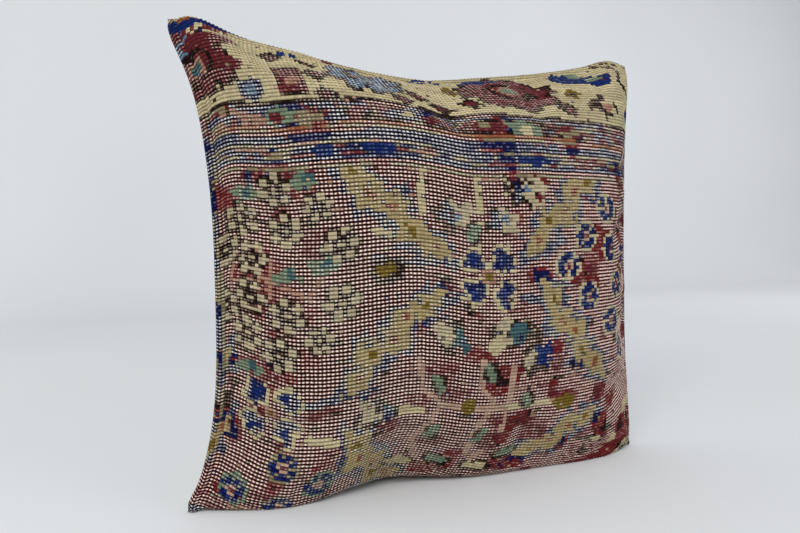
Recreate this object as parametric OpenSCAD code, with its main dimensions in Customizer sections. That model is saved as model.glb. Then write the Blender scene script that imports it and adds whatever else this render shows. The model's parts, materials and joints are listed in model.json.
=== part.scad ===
// Throw pillow: a zipped cover with a worn knotted-rug face and a cotton canvas back,
// stuffed with a fibre-filled insert. It stands on its lower edge. The face looks along -Y,
// the zipper crosses the back, and the origin is under the middle of the pillow on the floor.

/* [Cover] */
// Width from ear to ear
cover_w = 450; // [430:5:480]
// Height from the floor to the upper ears
cover_h = 400; // [380:5:430]
// How far the rug face swells in front of the seam
front_depth = 68; // [55:1:80]
// How far the canvas back swells behind the seam
back_depth = 74; // [64:1:84]
// How far each side seam pulls in between its ears
side_pull = 27; // [10:1:35]
// How far the top seam dips between its ears
top_pull = 33; // [10:1:40]
// How far the bottom seam lifts between its ears
bottom_pull = 8; // [4:1:14]
// Thickness of the worn rug
rug_t = 4; // [3:0.5:5]
// Thickness of the canvas
canvas_t = 1.5; // [1:0.1:2]

/* [Seam] */
// Width of the flat lip that the turned-in seam allowance makes
lip_w = 6; // [4:0.5:9]
// Half the thickness of that lip
lip_t = 4; // [3:0.5:5]
// Diameter of the seam thread
thread_d = 0.5; // [0.3:0.1:0.5]

/* [Zipper] */
// Height of the zipper above the floor
zip_z = 95; // [90:1:110]
// Distance behind the seam of the tape's outer face, at mid-width
zip_y = 64; // [62:1:66]
// Radius of the bow that the zipper follows round the back
zip_r = 520; // [500:10:560]
// Length of the coil chain
chain_l = 290; // [260:2:300]
// Spacing of the coil's turns
coil_pitch = 2.6; // [2.4:0.1:3]
// Length of the pull tab
tab_l = 24; // [18:1:28]

/* [Insert] */
// Gap between the cover and the insert's casing
insert_gap = 2; // [1.5:0.5:3]
// Thickness of the insert's casing
casing_t = 1; // [0.8:0.1:1.4]

/* [Hidden] */

// The crown: how full the pillow is from its seams to its middle
crown_flat = 2.4;       // a larger power flattens the middle
crown_edge = 0.55;      // a smaller power steepens the edges
pull_power = 4;         // the side seams run nearly straight between short ears
dip_power = 2.2;        // the top and bottom seams are one long curve
seam_gap = 0.3;         // half the gap that the thread closes between front and back
settle_front = 0.85;    // share of its height that the bottom of the front loses to the floor
settle_back = 0.92;     // the same for the back, which carries more
settle_reach = 0.36;    // share of the half height that the settling fades over, below the zipper
settle_press = 5;       // how far the floor presses into the settled bottom

// Layers inwards from the cover
lip_step = 0.4;         // each skin is this much thinner at its crease than the one outside it
insert_inset = lip_w + 5;
insert_lip = 1.8;
zip_clear = 3.2;        // room for the slider's lower plate between tape and insert

// Zipper, with s along the bow from mid-width and r out from the bow's axis
zip_axis_y = zip_y - zip_r;
degrees_per_mm = 180 / (PI * zip_r);
hem_gap = 14;
hem_w = 10;
hem_lift = 0.6;         // the hem lies this far outside the tape
slot_half = 166;
slot_taper = 8;
tape_t = 0.8;
tape_w = 15;
tape_slit = 1.3;
tape_half_l = 172;
coil_h = 2;
coil_reach = 3;
coil_overlap = 0.6;
coil_wire = 1.1;
chain_start = -148;
slider_l = 15;
slider_w = 9.2;
slider_plate = 1.2;
slider_s = 150;
slider_clear = 0.2;
post_w = 1.8;
bail_r = 0.8;
bail_out = 5.6;
bail_half = 2.6;
cheek_t = 0.8;
knuckle_r = 1.8;
knuckle_clear = 0.08;
tab_t = 1.4;
tab_hole_r = 1.9;
tab_w = 7;
stop_s = 161;
tack_half = 3.6;
stitch_l = 3.4;
stitch_pitch = 4.6;
stitch_d = 0.45;
thread_sides = 6;
thread_rings = 64;

// Grid of each panel. It has a ring for the lip outside the crease.
panel_n = 22;
panel_m = 20;
casing_n = 16;

// The seam stands this far from the origin, which is midway between the front and the back
seam_y = (front_depth - back_depth) / 2;

function clamp(t, low, high) = max(low, min(high, t));
function mix(a, b, t) = a + (b - a) * t;
function smooth(t) = let (c = clamp(t, 0, 1)) c * c * (3 - 2 * c);

// Outline of the seam. u runs from left (-1) to right (1), v from bottom (-1) to top (1).
function half_width(v, inset) = cover_w / 2 - side_pull * (1 - pow(abs(v), pull_power)) - inset;
function top_edge(u, inset) = cover_h - top_pull * (1 - pow(abs(u), dip_power)) - inset;
function bottom_edge(u, inset) = bottom_pull * (1 - pow(abs(u), dip_power)) + inset;
function height_at(u, v, inset) = mix(bottom_edge(u, inset), top_edge(u, inset), (v + 1) / 2);
function crown(u, v) = pow(1 - pow(abs(u), crown_flat), crown_edge)
                     * pow(1 - pow(abs(v), crown_flat), crown_edge);

// How far a point gives way to the floor. The cover is pressed flat right up to its seam, and the
// insert rounds up to its own.
function settled(u, v, hug, full) = (1 - smooth((v + 1) / settle_reach)) * (1 - pow(abs(u), 4))
                                  * (hug ? 1 : smooth(full / 0.2));

// The bow of the zipper as a distance behind the seam, and how strongly the back follows it
function bow(x) = zip_axis_y + sqrt(zip_r * zip_r - x * x);
function near_zip(x, z) = (1 - smooth((abs(x) - 176) / 24)) * (1 - smooth((abs(z - zip_z) - 24) / 34));

// A point of a layer. inset moves its outline in from the cover's seam, ring marks the outermost
// ring, lip is its half thickness at the crease, floor_z is the lowest that it may reach, and drop
// is how far inside the tape's outer face it passes the zipper.
function layer_point(u, v, inset_u, inset_v, ring, depth, lip, hug, settle, floor_z, drop) =
    let (
        x = u * half_width(v, inset_u),
        z0 = height_at(u, v, inset_v) - floor_z,
        full = ring ? 0 : crown(u, v),
        down = ring ? 0 : settled(u, v, hug, full),
        z = floor_z + max(0, z0 * (1 - settle * down) - settle_press * down),
        y0 = ring ? seam_gap : lip + (depth - lip) * full,
        zipped = ring ? 0 : near_zip(u * half_width(v, 0), height_at(u, v, 0)),
        y = drop == undef ? y0 : mix(y0, bow(x) - drop, zipped)
    )
    [x, y, z];

// Where a grid line crosses the panel. Lines crowd together towards the seams, and the first
// and last lines are the seam itself, outside the crease of the lip.
function line_at(k, n) = sin(90 * (2 * clamp((k - 1) / (n - 2), 0, 1) - 1));
function line_inset(k, n, inset, lip) = inset + ((k == 0 || k == n) ? 0 : lip);
function is_ring(i, j, n, m) = i == 0 || i == n || j == 0 || j == m;

// A whole panel, seam to seam
function panel_grid(n, m, inset, lip_in, depth, lip, hug, settle, floor_z, drop) = [
    for (j = [0:m], i = [0:n])
        layer_point(line_at(i, n), line_at(j, m), line_inset(i, n, inset, lip_in),
                    line_inset(j, m, inset, lip_in), is_ring(i, j, n, m),
                    depth, lip, hug, settle, floor_z, drop)
];

// The two parts of the back stop at the zipper: row 0 is the hem's edge, row 1 the hem's far side.
function hem_offset(x, row) = (hem_gap / 2 + row * hem_w) * (1 - smooth((abs(x) - slot_half) / slot_taper))
                            + (seam_gap + row * hem_w) * smooth((abs(x) - slot_half) / slot_taper);
function v_at(u, z) = 2 * (z - bottom_edge(u, 0)) / (top_edge(u, 0) - bottom_edge(u, 0)) - 1;
function hem_v(u, row, side) = v_at(u, zip_z + side * hem_offset(u * half_width(-0.5, 0), row));
function part_v(u, j, m, side) =
    j <= 1 ? hem_v(u, j, side)
           : mix(hem_v(u, 1, side), side, sin(90 * clamp((j - 1) / (m - 2), 0, 1)));
function part_inset(j, m, inset, lip_in) = j == m ? inset : (inset + lip_in) * max(0, j - 1) / (m - 2);
function part_grid(n, m, side, inset, lip_in, depth, lip, floor_z, drop) = [
    for (j = [0:m], i = [0:n])
        layer_point(line_at(i, n), part_v(line_at(i, n), j, m, side),
                    line_inset(i, n, inset, lip_in), part_inset(j, m, inset, lip_in),
                    i == 0 || i == n || j == m, depth, lip, true, settle_back, floor_z, drop)
];

// Two grids with the same rows and columns become one closed solid. Each quad is cut on the
// diagonal that points to its corner of the grid.
module between_grids(outer, inner, n, m) {
    row = n + 1;
    count = row * (m + 1);
    around = concat(
        [for (i = [0:n - 1]) i],
        [for (j = [0:m - 1]) j * row + n],
        [for (i = [n:-1:1]) m * row + i],
        [for (j = [m:-1:1]) j * row]
    );
    outer_faces = [
        for (j = [0:m - 1], i = [0:n - 1])
            let (a = j * row + i, b = a + 1, c = b + row, d = a + row)
            each (i < n / 2) == (j < m / 2) ? [[a, b, c], [a, c, d]] : [[a, b, d], [b, c, d]]
    ];
    inner_faces = [for (f = outer_faces) [f[2] + count, f[1] + count, f[0] + count]];
    rim = [
        for (k = [0:len(around) - 1])
            let (a = around[k], b = around[(k + 1) % len(around)])
            each [[b, a, a + count], [b, a + count, b + count]]
    ];
    polyhedron(points = concat(outer, inner), faces = concat(outer_faces, inner_faces, rim));
}

// Places a piece that was made about the seam's plane
module placed() {
    translate([0, seam_y, 0]) children();
}

// Places a piece on the zipper's bow, s millimetres from mid-width, with Y pointing out
module on_bow(s) {
    placed() translate([0, zip_axis_y, zip_z]) rotate([0, 0, -s * degrees_per_mm]) children();
}

// A strip that follows the bow, between two radii and two heights about the zipper's centre
module bow_strip(r0, r1, z0, z1, half_l) {
    sweep_angle = 2 * half_l * degrees_per_mm;
    placed() translate([0, zip_axis_y, zip_z]) rotate([0, 0, 90 - sweep_angle / 2])
        rotate_extrude(angle = sweep_angle, $fn = 200)
            polygon([[r0, z0], [r1, z0], [r1, z1], [r0, z1]]);
}

// ---- Cover ----

module rug_front_panel() {
    outer = panel_grid(panel_n, panel_m, 0, lip_w, front_depth, lip_t, true, settle_front, 0, undef);
    inner = panel_grid(panel_n, panel_m, lip_w + 1, 1.5, front_depth - rug_t, lip_t - lip_step,
                       true, settle_front, rug_t, undef);
    color("#8a5048") placed() mirror([0, 1, 0]) between_grids(outer, inner, panel_n, panel_m);
}

module back_part(side, rows) {
    outer = part_grid(panel_n, rows, side, 0, lip_w, back_depth, lip_t, 0, -canvas_t - hem_lift);
    inner = part_grid(panel_n, rows, side, lip_w + 1, 1.5, back_depth - canvas_t, lip_t - lip_step,
                      canvas_t, -hem_lift);
    color("#cfc4ad") placed()
        between_grids(side > 0 ? outer : inner, side > 0 ? inner : outer, panel_n, rows);
}

module back_panel_upper() {
    back_part(1, 16);
}

module back_panel_lower() {
    back_part(-1, 10);
}

// A closed loop of thread along a seam
module seam_loop(inset, colour) {
    function edge_point(t) =
        let (side = floor(t / 90) % 4, k = 2 * (t % 90) / 90 - 1,
             u = [k, 1, -k, -1][side], v = [-1, k, 1, -k][side])
        [u * half_width(v, inset), 0, height_at(u, v, inset)];
    points = [
        for (r = [0:thread_rings - 1])
            let (t = r * 360 / thread_rings, p = edge_point(t),
                 q = edge_point((r + 1) * 360 / thread_rings),
                 o = edge_point((r + thread_rings - 1) * 360 / thread_rings),
                 d = (q - o) / norm(q - o), across = [d[2], 0, -d[0]])
            for (k = [0:thread_sides - 1])
                let (turn = 360 * k / thread_sides)
                p + thread_d / 2 * (across * cos(turn) + [0, sin(turn), 0])
    ];
    total = thread_rings * thread_sides;
    faces = [
        for (r = [0:thread_rings - 1], k = [0:thread_sides - 1])
            let (a = r * thread_sides + k, b = r * thread_sides + (k + 1) % thread_sides,
                 c = (a + thread_sides) % total, d = (b + thread_sides) % total)
            each [[a, b, d], [a, d, c]]
    ];
    color(colour) placed() polyhedron(points = points, faces = faces);
}

module cover_seam_thread() {
    seam_loop(lip_w / 2, "#4a3a36");
}

// ---- Zipper ----

module tape(side) {
    edge = side > 0 ? tape_slit : -tape_slit - tape_w;
    color("#b9ab90") bow_strip(zip_r - tape_t, zip_r, edge, edge + tape_w, tape_half_l);
}

module zipper_tape_upper() {
    tape(1);
}

module zipper_tape_lower() {
    tape(-1);
}

// One turn of the coil: a rounded bar that reaches just past the middle, between two of the other side's
module coil_turn(side) {
    length = coil_reach + coil_overlap - coil_wire;
    z0 = side > 0 ? -coil_overlap + coil_wire / 2 : coil_overlap - coil_wire / 2 - length;
    translate([-coil_wire / 2, zip_r + 0.02, z0]) cube([coil_wire, coil_h, length]);
    for (z = [z0, z0 + length])
        translate([0, zip_r + 0.02, z]) rotate([-90, 0, 0]) cylinder(d = coil_wire, h = coil_h, $fn = 24);
}

module coil(side) {
    turns = floor(chain_l / coil_pitch);
    color("#a39678")
        for (k = [0:turns - 1])
            on_bow(chain_start + (k + (side > 0 ? 0.25 : 0.75)) * coil_pitch) coil_turn(side);
}

module zipper_coil_upper() {
    coil(1);
}

module zipper_coil_lower() {
    coil(-1);
}

module stop_block(s, length, z0, z1) {
    on_bow(s) translate([-length / 2, zip_r + 0.02, z0]) cube([length, coil_h, z1 - z0]);
}

module zipper_top_stops() {
    color("#9c9a92") {
        stop_block(stop_s, 2.6, tape_slit + 0.3, 4);
        stop_block(stop_s, 2.6, -4, -tape_slit - 0.3);
    }
}

module zipper_bottom_stop() {
    color("#9c9a92") stop_block(-stop_s + 9, 3, -3.6, 3.6);
}

module zipper_bar_tacks() {
    color("#d9d0bb")
        for (s = [-slot_half + 3, slot_half - 1])
            on_bow(s) translate([-0.7, zip_r + 0.02, -tack_half]) cube([1.4, 0.4, 2 * tack_half]);
}

module hem_stitches(side) {
    count = floor(2 * (slot_half - 6) / stitch_pitch);
    color("#e6dfcd")
        for (k = [0:count], z = [hem_gap / 2 + 2, hem_gap / 2 + 7])
            on_bow((k - count / 2) * stitch_pitch)
                translate([-stitch_l / 2, zip_r + hem_lift + canvas_t + 0.05 + stitch_d / 2, side * z])
                    rotate([0, 90, 0]) cylinder(d = stitch_d, h = stitch_l, $fn = 16);
}

module hem_stitches_upper() {
    hem_stitches(1);
}

module hem_stitches_lower() {
    hem_stitches(-1);
}

module zipper_slider() {
    top = zip_r + coil_h + slider_clear;
    bottom = zip_r - tape_t - slider_clear - slider_plate;
    flange_in = coil_reach + 0.4;
    color("#b7a06a") on_bow(slider_s) {
        // upper and lower plates
        translate([-slider_l / 2, top, -slider_w / 2]) cube([slider_l, slider_plate, slider_w]);
        translate([-slider_l / 2, bottom, -slider_w / 2]) cube([slider_l, slider_plate, slider_w]);
        // flanges beside the coil
        for (z = [flange_in, -slider_w / 2])
            translate([-slider_l / 2, zip_r + 0.4, z])
                cube([slider_l, coil_h + slider_clear - 0.3, slider_w / 2 - flange_in]);
        // post that parts the coil, at the end that faces the open side
        translate([slider_l / 2 - 4.5, bottom + 0.1, -post_w / 2])
            cube([3.5, top - bottom, post_w]);
        // bail: two cheeks and the bar that the tab turns on
        for (z = [bail_half, -bail_half - cheek_t])
            translate([-1.4, top + slider_plate - 0.1, z])
                cube([2.8, bail_out - coil_h - slider_plate + cheek_t, cheek_t]);
        translate([0, zip_r + bail_out, -bail_half - cheek_t / 2])
            cylinder(r = bail_r, h = 2 * bail_half + cheek_t, $fn = 48);
    }
}

module zipper_pull_tab() {
    neck_w = 2 * bail_half - 0.6;
    neck_l = 7;
    blade_end = -tab_l + tab_w / 2;     // centre of the blade's round end
    color("#b7a06a") on_bow(slider_s) translate([0, zip_r + bail_out, 0]) difference() {
        union() {
            translate([0, 0, -neck_w / 2]) cylinder(r = knuckle_r, h = neck_w, $fn = 48);
            translate([-neck_l, -tab_t / 2, -neck_w / 2]) cube([neck_l, tab_t, neck_w]);
            translate([blade_end, -tab_t / 2, -tab_w / 2]) cube([-blade_end - 4.5, tab_t, tab_w]);
            translate([blade_end, tab_t / 2, 0]) rotate([90, 0, 0]) cylinder(d = tab_w, h = tab_t, $fn = 64);
        }
        translate([0, 0, -tab_w]) cylinder(r = bail_r + knuckle_clear, h = 2 * tab_w, $fn = 48);
        translate([blade_end + 0.5, tab_t, 0]) rotate([90, 0, 0])
            cylinder(r = tab_hole_r, h = 2 * tab_t, $fn = 48);
    }
}

// ---- Insert ----

// One side of the insert, from a skin at the given depth below its outer face
function casing_grid(below, skin, side) =
    panel_grid(casing_n, casing_n, insert_inset + 2 * skin, 1.5,
               (side > 0 ? back_depth - canvas_t : front_depth - rug_t) - insert_gap - below,
               insert_lip - lip_step * skin, false,
               side > 0 ? settle_back : settle_front, rug_t + insert_gap + below,
               side > 0 ? zip_clear + below : undef);

module insert_casing(side) {
    color("#efece4") placed() mirror([0, side > 0 ? 0 : 1, 0])
        between_grids(casing_grid(0, 0, side), casing_grid(casing_t, 1, side), casing_n, casing_n);
}

module insert_front_casing() {
    insert_casing(-1);
}

module insert_back_casing() {
    insert_casing(1);
}

module insert_seam_thread() {
    seam_loop(insert_inset + 1, "#f4f1ea");
}

module fibre_fill() {
    below = casing_t + 1;
    back = casing_grid(below, 2, 1);
    front = [for (p = casing_grid(below, 2, -1)) [p[0], -p[1], p[2]]];
    color("#fbfaf6") placed() between_grids(back, front, casing_n, casing_n);
}

rug_front_panel();
back_panel_upper();
back_panel_lower();
cover_seam_thread();
zipper_tape_upper();
zipper_tape_lower();
zipper_coil_upper();
zipper_coil_lower();
zipper_top_stops();
zipper_bottom_stop();
zipper_bar_tacks();
hem_stitches_upper();
hem_stitches_lower();
zipper_slider();
zipper_pull_tab();
insert_front_casing();
insert_back_casing();
insert_seam_thread();
fibre_fill();
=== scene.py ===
import json
import math

import bpy
import numpy as np
from mathutils import Matrix, Vector


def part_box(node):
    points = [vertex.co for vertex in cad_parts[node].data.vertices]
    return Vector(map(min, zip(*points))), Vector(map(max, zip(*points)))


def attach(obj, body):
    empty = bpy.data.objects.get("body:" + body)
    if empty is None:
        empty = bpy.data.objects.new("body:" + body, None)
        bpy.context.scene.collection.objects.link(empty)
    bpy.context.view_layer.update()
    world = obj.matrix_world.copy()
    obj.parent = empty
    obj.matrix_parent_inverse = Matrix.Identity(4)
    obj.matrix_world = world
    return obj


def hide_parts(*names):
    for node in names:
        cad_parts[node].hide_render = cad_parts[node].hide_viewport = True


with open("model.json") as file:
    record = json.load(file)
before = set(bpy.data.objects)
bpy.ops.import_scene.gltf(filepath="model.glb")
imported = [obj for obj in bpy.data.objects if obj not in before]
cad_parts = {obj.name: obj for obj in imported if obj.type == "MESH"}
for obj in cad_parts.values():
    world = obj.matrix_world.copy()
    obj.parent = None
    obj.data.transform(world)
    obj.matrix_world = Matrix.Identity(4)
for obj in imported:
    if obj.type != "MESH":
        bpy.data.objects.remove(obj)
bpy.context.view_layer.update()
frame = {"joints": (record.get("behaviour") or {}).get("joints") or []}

MM = 0.001

# -------------------- places taken from the frame

rug_low, rug_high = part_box("rug_front_panel")
back_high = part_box("back_panel_upper")[1]
thread_low, thread_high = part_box("cover_seam_thread")
WIDTH = rug_high.x - rug_low.x
HEIGHT = rug_high.z - rug_low.z
SEAM_Y = (thread_low.y + thread_high.y) / 2
FRONT_DEPTH = SEAM_Y - rug_low.y
BACK_DEPTH = back_high.y - SEAM_Y
travel = frame["joints"][0]
BOW_Y = travel["pos_m"][1]
ZIP_Z = travel["pos_m"][2]
BOW_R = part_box("zipper_tape_upper")[1].y - BOW_Y

# -------------------- small maths


def clamp(t, low=0.0, high=1.0):
    return np.clip(t, low, high)


def smooth(t):
    t = clamp(t)
    return t * t * (3 - 2 * t)


def bump(t, middle, spread):
    return np.exp(-(((t - middle) / spread) ** 2))


def hash_grid(ix, iy, seed):
    """A repeatable random number from 0 to 1 for each pair of whole numbers."""
    n = (ix.astype(np.int64) * 374761393 + iy.astype(np.int64) * 668265263 + seed * 974711) & 0x7FFFFFFF
    n = ((n ^ (n >> 13)) * 1274126177) & 0x7FFFFFFF
    n = (n ^ (n >> 16)) & 0xFFFFFF
    return n / 0xFFFFFF


def noise(x, y, seed):
    """Smooth noise from -1 to 1, with features about one unit across."""
    x, y = np.broadcast_arrays(np.asarray(x, float), np.asarray(y, float))
    ix, iy = np.floor(x), np.floor(y)
    fx, fy = smooth(x - ix), smooth(y - iy)
    a, b = hash_grid(ix, iy, seed), hash_grid(ix + 1, iy, seed)
    c, d = hash_grid(ix, iy + 1, seed), hash_grid(ix + 1, iy + 1, seed)
    return 2 * ((a * (1 - fx) + b * fx) * (1 - fy) + (c * (1 - fx) + d * fx) * fy) - 1


def unit(vectors):
    return vectors / np.maximum(np.linalg.norm(vectors, axis=-1, keepdims=True), 1e-12)


def grid_normals(points):
    return unit(np.cross(np.gradient(points, axis=1), np.gradient(points, axis=0)))


# -------------------- shape of the stuffed cover

LEFT_PULL, RIGHT_PULL = 27 * MM, 10 * MM
TOP_PULL, BOTTOM_LIFT = 37 * MM, 8 * MM
LIP_W, LIP_T = 7 * MM, 3.4 * MM
CROWN_FLAT, CROWN_TOP, CROWN_EDGE = 2.4, 6.5, 0.55
TOP_LIP, RIGHT_LIP, CORNER_BLUNT = 0.45, 0.5, 8 * MM
SETTLE_REACH, SETTLE_PRESS = 0.36, 5 * MM
# How far the left side's two ears stand out, and how the ears and the dip of the top lie: height, place
# along the top from -1 to 1, and spread
LEFT_TOP_OUT, LEFT_FOOT_OUT = 11 * MM, 3 * MM
EARS = ((9 * MM, -0.93, 0.14), (2 * MM, -0.55, 0.25), (4 * MM, 0.88, 0.09))
TOP_DIP = (2 * MM, 0.18, 0.25)
# The back follows the zipper's bow over this half length and half height, and fades over the next
ZIP_HALF, ZIP_HALF_FADE = 176 * MM, 24 * MM
ZIP_BAND, ZIP_BAND_FADE = 24 * MM, 34 * MM


def left_x(v):
    power = np.where(v > 0, 2.2, 4.0)
    edge = -WIDTH / 2 + LEFT_PULL * (1 - np.abs(v) ** power)
    return edge - LEFT_TOP_OUT * bump(v, 1, 0.2) - LEFT_FOOT_OUT * bump(v, -1, 0.06)


def right_x(v):
    return WIDTH / 2 - RIGHT_PULL * (1 - np.abs(v) ** 3)


def top_z(u):
    ears = sum(high * bump(u, middle, spread) for high, middle, spread in EARS)
    dip = TOP_DIP[0] * bump(u, *TOP_DIP[1:])
    return HEIGHT - TOP_PULL * (1 - (u * u) ** 0.7) + ears + dip


def bottom_z(u):
    return BOTTOM_LIFT * (1 - np.abs(u) ** 2.2)


def crown(u, v):
    """How far the cushion swells, 0 at the seam to 1 at its middle. Its top is squarer than its foot."""
    across = np.maximum(0, 1 - np.abs(u) ** CROWN_FLAT) ** CROWN_EDGE
    square = (v > 0) * (1 - u**2) * (1 - 0.8 * smooth((u + 0.45) / 1.2))
    flat = CROWN_FLAT + (CROWN_TOP - CROWN_FLAT) * square
    up = np.maximum(0, 1 - np.abs(v) ** flat) ** CROWN_EDGE
    return across * up


# The seam's lip: how far in from the seam each of its lines is, and how thick it is there
LIP_LINES = [(0, 0.8 * MM), (0.8 * MM, 2.9 * MM), (3 * MM, 4.4 * MM), (5.4 * MM, 4.2 * MM), (LIP_W, LIP_T)]


def grid_lines(inner):
    """Positions of the lines of a panel: -1 to 1 over the part inside the lip, and how far in from
    the seam each lip line is. Inner lines crowd together towards the seam."""
    lip = len(LIP_LINES) - 1
    t = np.sin(np.linspace(-math.pi / 2, math.pi / 2, inner) * 0.96) / math.sin(math.pi / 2 * 0.96)
    at = np.concatenate([-np.ones(lip), t, np.ones(lip)])
    ins = [inset for inset, _ in LIP_LINES]
    inset = np.concatenate([ins[:-1], np.full(inner, ins[-1]), ins[:-1][::-1]])
    thick = [t for _, t in LIP_LINES]
    lip_y = np.concatenate([thick[:-1], np.full(inner, thick[-1]), thick[:-1][::-1]])
    return at, inset, lip_y


def front_settle(u):
    """How far the front's foot is pressed down: it sags near both ears and arches between them."""
    return 0.85 + 0.35 * bump(u, -0.76, 0.2) - 0.62 * bump(u, -0.25, 0.27) + 0.35 * bump(u, 0.78, 0.25)


def back_settle(u):
    return 0.92 - 0.2 * bump(u, 0.1, 0.4)


def panel_surface(columns, rows, depth, settle, side):
    """A panel as a grid of points, from the bottom row up. side is -1 for the front, 1 for the back."""
    u, inset_u, lip_u = grid_lines(columns)
    v, inset_v, lip_v = grid_lines(rows)
    u, v = np.meshgrid(u, v)
    inset_u, inset_v = np.meshgrid(inset_u, inset_v)
    lip_u, lip_v = np.meshgrid(lip_u, lip_v)
    lip = lip_u * lip_v / LIP_T
    blunt = (np.abs(u) * np.abs(v)) ** 12 * np.where(v > 0, 1, np.where(u > 0, 0.6, 0.4))
    inset_v = np.where(v > 0, TOP_LIP, 1) * inset_v
    inset_u = np.where(u > 0, RIGHT_LIP, 1) * inset_u
    left, right = left_x(v) + inset_u, right_x(v) - inset_u
    x = (left + right) / 2 + u * ((right - left) / 2 - CORNER_BLUNT * blunt)
    z = (bottom_z(u) + inset_v) * (1 - v) / 2 + (top_z(u) - inset_v - CORNER_BLUNT * blunt) * (1 + v) / 2
    full = crown(u, v)
    y = lip + (depth - lip) * full
    down = (1 - smooth((v + 1) / SETTLE_REACH)) * (1 - np.abs(u) ** 16) * smooth(inset_v / LIP_W)
    lip_z = 0.3 * inset_v * (1 - smooth(3 * full))
    z = np.maximum(lip_z, z * (1 - settle(u) * down) - SETTLE_PRESS * down)
    return np.stack([x, SEAM_Y + side * y, z], axis=-1)


def near_zip(x, z):
    """How strongly the back follows the zipper's bow: 1 along the zipper, 0 away from it."""
    along_zip = 1 - smooth((np.abs(x) - ZIP_HALF) / ZIP_HALF_FADE)
    return along_zip * (1 - smooth((np.abs(z - ZIP_Z) - ZIP_BAND) / ZIP_BAND_FADE))


def grid_faces(columns, rows, start=0, flip=False):
    """Quads of a grid of points, as an array of four corners each."""
    at = np.arange(columns * rows).reshape(rows, columns) + start
    quads = np.stack([at[:-1, :-1], at[:-1, 1:], at[1:, 1:], at[1:, :-1]], axis=-1).reshape(-1, 4)
    return quads[:, ::-1] if flip else quads


def around(columns, rows, start=0):
    """The points round the edge of a grid, in order."""
    at = np.arange(columns * rows).reshape(rows, columns) + start
    return np.concatenate([at[0, :-1], at[:-1, -1], at[-1, :0:-1], at[:0:-1, 0]])


def mesh_object(name, points, faces):
    """A smooth object from an array of points and an array of quads."""
    mesh = bpy.data.meshes.new(name)
    points = points.reshape(-1, 3)
    mesh.vertices.add(len(points))
    mesh.vertices.foreach_set("co", points.astype(np.float32).ravel())
    mesh.loops.add(faces.size)
    mesh.loops.foreach_set("vertex_index", faces.astype(np.int32).ravel())
    mesh.polygons.add(len(faces))
    mesh.polygons.foreach_set("loop_start", np.arange(0, faces.size, 4, dtype=np.int32))
    mesh.update(calc_edges=True)
    mesh.validate()
    mesh.shade_smooth()
    obj = bpy.data.objects.new(name, mesh)
    bpy.context.scene.collection.objects.link(obj)
    return obj


def coordinates(obj):
    """Where an object's points are after its modifiers."""
    graph = bpy.context.evaluated_depsgraph_get()
    mesh = obj.evaluated_get(graph).to_mesh()
    co = np.zeros(len(mesh.vertices) * 3, np.float32)
    mesh.vertices.foreach_get("co", co)
    return co.reshape(-1, 3).astype(float)


def relax_cover(front, back, held_front, held_back):
    """Lets the stuffed cover settle as cloth under the pressure of its filling, and returns both
    panels. What is held keeps its place: the lip, the floor contact and the zipper."""
    rows, columns = front.shape[:2]
    count = rows * columns
    faces = np.vstack([grid_faces(columns, rows), grid_faces(columns, rows, count, flip=True)])
    a, b = around(columns, rows), around(columns, rows, count)
    rim = np.stack([np.roll(a, -1), a, b, np.roll(b, -1)], axis=-1)
    start = np.concatenate([front.reshape(-1, 3), back.reshape(-1, 3)])
    obj = mesh_object("cover_cloth", start, np.vstack([faces, rim]))
    group = obj.vertex_groups.new(name="held")
    held = np.concatenate([held_front.ravel(), held_back.ravel()])
    for level in np.unique(np.round(held, 1)):
        if level > 0:
            members = np.nonzero(np.round(held, 1) == level)[0]
            group.add(members.tolist(), float(level), "REPLACE")
    cloth = obj.modifiers.new("cloth", "CLOTH")
    settings = cloth.settings
    settings.quality = 6
    settings.mass = 0.25
    settings.tension_stiffness = 20
    settings.compression_stiffness = 20
    settings.shear_stiffness = 12
    settings.bending_stiffness = CLOTH_BENDING
    settings.air_damping = 4
    settings.vertex_group_mass = "held"
    settings.pin_stiffness = 6
    settings.shrink_min = -CLOTH_SLACK
    settings.use_pressure = True
    settings.uniform_pressure_force = CLOTH_PRESSURE
    settings.effector_weights.gravity = 0
    cloth.collision_settings.use_collision = False
    cloth.point_cache.frame_end = CLOTH_FRAMES
    for at in range(1, CLOTH_FRAMES + 1):
        bpy.context.scene.frame_set(at)
    settled = coordinates(obj)
    bpy.context.scene.frame_set(1)
    bpy.data.objects.remove(obj)
    move = settled - start
    length = np.linalg.norm(move, axis=1, keepdims=True)
    move *= np.minimum(1, CLOTH_CAP / np.maximum(length, 1e-9)) * (1 - held[:, None])
    settled = start + move
    settled[:, 2] = np.maximum(settled[:, 2], 0)
    return settled[:count].reshape(front.shape), settled[count:].reshape(back.shape)


def along(points, at):
    """Points at fractional positions along a curve, by cubic interpolation."""
    last = len(points) - 1
    k = np.clip(np.floor(at).astype(int), 0, last - 1)
    t = (at - k)[:, None]
    p0, p1 = points[np.maximum(k - 1, 0)], points[k]
    p2, p3 = points[k + 1], points[np.minimum(k + 2, last)]
    return p1 + 0.5 * t * (p2 - p0 + t * (2 * p0 - 5 * p1 + 4 * p2 - p3 + t * (3 * (p1 - p2) + p3 - p0)))


def run_along(curve):
    """How far along a curve each of its points lies."""
    return np.concatenate([[0], np.cumsum(np.linalg.norm(np.diff(curve, axis=0), axis=1))])


def evenly(curve, count, taken=0):
    """The same curve with its points an equal length of cloth apart. The last few, taken in number,
    are gathered up in the seam."""
    length = run_along(curve)
    place = np.linspace(0, count - 1, count)
    seam = length[-1] - 2 * MM
    shown = np.interp(place, [0, count - 1 - taken, count - 1], [0, seam, length[-1]])
    place = shown if taken > 0 else place * length[-1] / (count - 1)
    return along(curve, np.interp(place, length, np.arange(len(curve))))


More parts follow.
